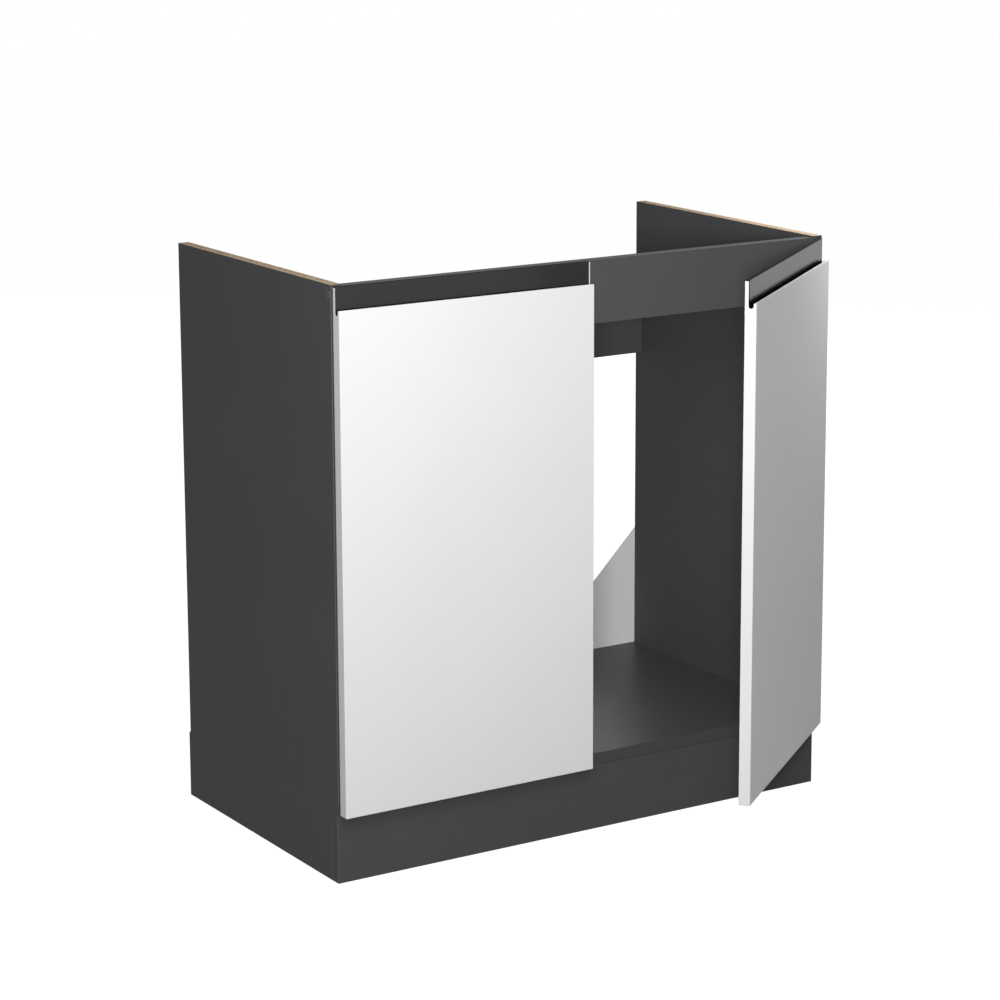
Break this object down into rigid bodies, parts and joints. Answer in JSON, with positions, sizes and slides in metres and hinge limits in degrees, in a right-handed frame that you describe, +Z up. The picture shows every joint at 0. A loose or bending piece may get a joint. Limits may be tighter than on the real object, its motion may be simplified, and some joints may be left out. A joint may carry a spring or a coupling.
{
  "type": "sink base cabinet",
  "caption": "Sink base cabinet with open top and back, boxed plinth and hinged white doors with J-shaped finger grips.",
  "frame": {"origin": "middle of the underside of the front plinth board, on the floor", "axes": "+X to the right seen from the front, +Y from the doors to the back, +Z up"},
  "size_m": [0.8016, 0.7111, 0.816],
  "materials": {
    "melamine_board": "dark grey melamine-faced chipboard, fine structure, matt",
    "edge_band": "dark grey satin plastic edge",
    "door_lacquer": "white gloss front",
    "grip_metal": "anthracite satin anodised",
    "hardboard": "light grey lacquered hardboard",
    "nickel_steel": "nickel plated",
    "zinc_steel": "zinc plated",
    "bumper_pad": "clear soft plastic",
    "beech": "plain beech"
  },
  "bodies": {
    "carcass": {"left_side_panel": "melamine_board", "right_side_panel": "melamine_board", "bottom_panel": "melamine_board", "front_top_rail": "melamine_board", "back_rail": "melamine_board", "left_edge_band": "edge_band", "right_edge_band": "edge_band", "bottom_edge_band": "edge_band", "plinth_front_board": "melamine_board", "plinth_back_board": "melamine_board", "plinth_left_board": "melamine_board", "plinth_right_board": "melamine_board", "left_back_gusset": "hardboard", "right_back_gusset": "hardboard", "gusset_nails": "zinc_steel", "rail_screws": "zinc_steel", "rail_screw_caps": "edge_band", "side_panel_screws": "zinc_steel", "plinth_screws": "zinc_steel", "rail_dowels": "beech", "plinth_dowels": "beech", "upper_left_hinge_arm": "nickel_steel", "lower_left_hinge_arm": "nickel_steel", "upper_right_hinge_arm": "nickel_steel", "lower_right_hinge_arm": "nickel_steel", "upper_left_mounting_plate": "nickel_steel", "lower_left_mounting_plate": "nickel_steel", "upper_right_mounting_plate": "nickel_steel", "lower_right_mounting_plate": "nickel_steel", "arm_pins": "zinc_steel", "arm_screws": "zinc_steel", "plate_screws": "zinc_steel"},
    "left_rear_links": {"upper_left_rear_links": "nickel_steel", "lower_left_rear_links": "nickel_steel"},
    "left_front_links": {"upper_left_front_link": "nickel_steel", "lower_left_front_link": "nickel_steel"},
    "left_door": {"left_door": "door_lacquer", "left_grip_profile": "grip_metal", "left_door_bumpers": "bumper_pad", "upper_left_hinge_cup": "nickel_steel", "lower_left_hinge_cup": "nickel_steel", "left_cup_pins": "zinc_steel", "left_cup_screws": "zinc_steel"},
    "right_rear_links": {"upper_right_rear_links": "nickel_steel", "lower_right_rear_links": "nickel_steel"},
    "right_front_links": {"upper_right_front_link": "nickel_steel", "lower_right_front_link": "nickel_steel"},
    "right_door": {"right_door": "door_lacquer", "right_grip_profile": "grip_metal", "right_door_bumpers": "bumper_pad", "upper_right_hinge_cup": "nickel_steel", "lower_right_hinge_cup": "nickel_steel", "right_cup_pins": "zinc_steel", "right_cup_screws": "zinc_steel"}
  },
  "joints": [
    {"name": "left_rear_link_swing", "type": "hinge", "parent": "carcass", "child": "left_rear_links", "pos_m": [-0.35, 0.0095, 0.44], "axis": [0, 0, -1], "range_deg": [-36.36, 0.3]},
    {"name": "left_door_turn", "type": "hinge", "parent": "left_rear_links", "child": "left_door", "pos_m": [-0.3908, -0.014, 0.44], "axis": [0, 0, -1], "range_deg": [0, 128.06]},
    {"name": "left_front_link_swing", "type": "hinge", "parent": "carcass", "child": "left_front_links", "pos_m": [-0.3675, -0.0112, 0.44], "axis": [0, 0, -1], "range_deg": [-62.22, 0.3]},
    {"name": "right_rear_link_swing", "type": "hinge", "parent": "carcass", "child": "right_rear_links", "pos_m": [0.35, 0.0095, 0.44], "axis": [0, 0, 1], "range_deg": [-21.39, 15.27]},
    {"name": "right_door_turn", "type": "hinge", "parent": "right_rear_links", "child": "right_door", "pos_m": [0.38334, -0.02374, 0.44], "axis": [0, 0, 1], "range_deg": [-53.17, 74.89]},
    {"name": "right_front_link_swing", "type": "hinge", "parent": "carcass", "child": "right_front_links", "pos_m": [0.3675, -0.0112, 0.44], "axis": [0, 0, 1], "range_deg": [-36.51, 26.01]}
  ],
  "couplings": [
    {"joint": "left_rear_link_swing", "follows": "left_door_turn", "ratio": -0.28161},
    {"joint": "left_front_link_swing", "follows": "left_door_turn", "ratio": -0.48348},
    {"joint": "right_rear_link_swing", "follows": "right_door_turn", "ratio": -0.28161},
    {"joint": "right_front_link_swing", "follows": "right_door_turn", "ratio": -0.48348}
  ]
}
